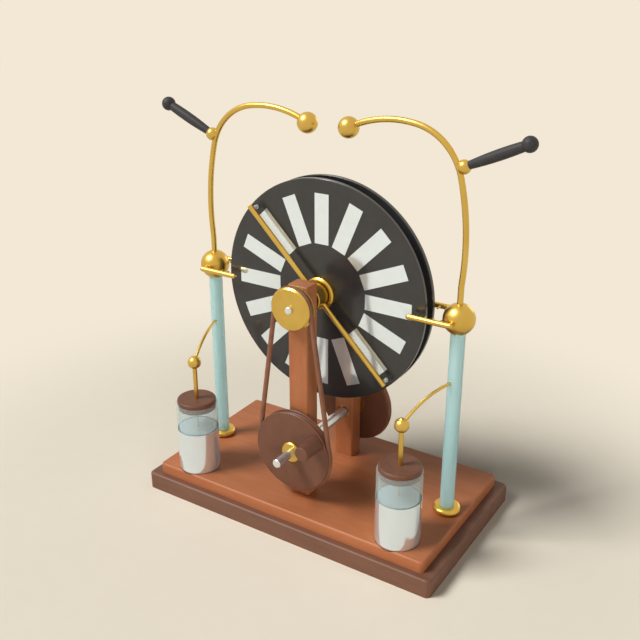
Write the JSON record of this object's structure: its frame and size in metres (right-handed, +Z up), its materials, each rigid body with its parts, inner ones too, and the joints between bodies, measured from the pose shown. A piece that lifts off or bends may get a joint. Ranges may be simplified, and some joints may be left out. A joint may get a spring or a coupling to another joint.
{
  "type": "wimshurst machine",
  "caption": "Hand cranked influence machine: contra-rotating black discs with foil sectors, belts, brass collectors, curved spark electrodes and Leyden jars on a wooden base.",
  "frame": {"origin": "bottom centre of the plinth", "axes": "+Z up, +X along the base towards the right-hand pillar seen from the crank side, +Y away from the crank; the discs turn about Y"},
  "size_m": [0.5316, 0.254, 0.5499],
  "materials": {
    "dark_wood": "dark brown stain under satin varnish",
    "orange_wood": "orange-brown stain under satin varnish",
    "black_plate": "satin black",
    "foil": "bright foil",
    "brass": "polished",
    "steel": "turned bright",
    "belt_leather": "round brown belt",
    "pale_glass": "pale blue-green glass rod",
    "clear_glass": "clear blown glass",
    "black_handle": "polished black insulator"
  },
  "bodies": {
    "frame": {"plinth": "dark_wood", "board": "orange_wood", "front_upright": "orange_wood", "rear_upright": "orange_wood", "wood_screws": "steel", "earth_strip": "brass", "contact_studs": "brass", "spindle_bushes": "brass", "shaft_bushes": "brass", "front_belt": "belt_leather", "rear_belt": "belt_leather", "left_pillar": "pale_glass", "right_pillar": "pale_glass", "pillar_bases": "brass", "left_terminal_ball": "brass", "right_terminal_ball": "brass", "left_collector": "brass", "right_collector": "brass", "left_jar_glass": "clear_glass", "right_jar_glass": "clear_glass", "jar_foils": "foil", "jar_linings": "foil", "jar_lids": "dark_wood", "left_jar_rod": "brass", "right_jar_rod": "brass", "left_jar_wire": "brass", "right_jar_wire": "brass"},
    "drive": {"drive_shaft": "steel", "front_drive_wheel": "dark_wood", "rear_drive_wheel": "dark_wood", "wheel_bosses": "brass", "wheel_collars": "brass", "crank_pin": "steel"},
    "crank_grip": {"crank_grip": "dark_wood", "grip_plug": "dark_wood"},
    "front_disc": {"front_disc": "black_plate", "front_sectors": "foil", "front_hub": "brass", "front_spindle": "steel", "front_pulley": "brass"},
    "front_neutraliser": {"front_neutraliser_collar": "brass", "front_neutraliser_rods": "brass", "front_neutraliser_brushes": "steel"},
    "rear_disc": {"rear_disc": "black_plate", "rear_sectors": "foil", "rear_hub": "brass", "rear_spindle": "steel", "rear_pulley": "brass"},
    "rear_neutraliser": {"rear_neutraliser_collar": "brass", "rear_neutraliser_rods": "brass", "rear_neutraliser_brushes": "steel"},
    "left_electrode": {"left_electrode_rod": "brass", "left_spark_ball": "brass", "left_handle_ball": "brass", "left_handle": "black_handle"},
    "right_electrode": {"right_electrode_rod": "brass", "right_spark_ball": "brass", "right_handle_ball": "brass", "right_handle": "black_handle"}
  },
  "joints": [
    {"name": "drive_turn", "type": "hinge", "parent": "frame", "child": "drive", "pos_m": [0, 0, 0.113], "axis": [0, 1, 0], "continuous": true},
    {"name": "grip_turn", "type": "hinge", "parent": "drive", "child": "crank_grip", "pos_m": [0.0375, -0.1, 0.138], "axis": [0, 1, 0], "continuous": true},
    {"name": "front_disc_turn", "type": "hinge", "parent": "frame", "child": "front_disc", "pos_m": [0, 0, 0.3166], "axis": [0, 1, 0], "continuous": true},
    {"name": "rear_disc_turn", "type": "hinge", "parent": "frame", "child": "rear_disc", "pos_m": [0, 0, 0.3166], "axis": [0, 1, 0], "continuous": true},
    {"name": "front_neutraliser_tilt", "type": "hinge", "parent": "frame", "child": "front_neutraliser", "pos_m": [0, -0.0263, 0.3166], "axis": [0, 1, 0], "range_deg": [-40, 130]},
    {"name": "rear_neutraliser_tilt", "type": "hinge", "parent": "frame", "child": "rear_neutraliser", "pos_m": [0, 0.0263, 0.3166], "axis": [0, 1, 0], "range_deg": [-130, 40]},
    {"name": "left_electrode_swing", "type": "hinge", "parent": "frame", "child": "left_electrode", "pos_m": [-0.1886, 0, 0.3221], "axis": [0, 0, 1], "continuous": true},
    {"name": "right_electrode_swing", "type": "hinge", "parent": "frame", "child": "right_electrode", "pos_m": [0.1886, 0, 0.3221], "axis": [0, 0, 1], "continuous": true}
  ],
  "couplings": [
    {"joint": "front_disc_turn", "follows": "drive_turn", "ratio": 2.1309},
    {"joint": "rear_disc_turn", "follows": "drive_turn", "ratio": -2.1309}
  ]
}
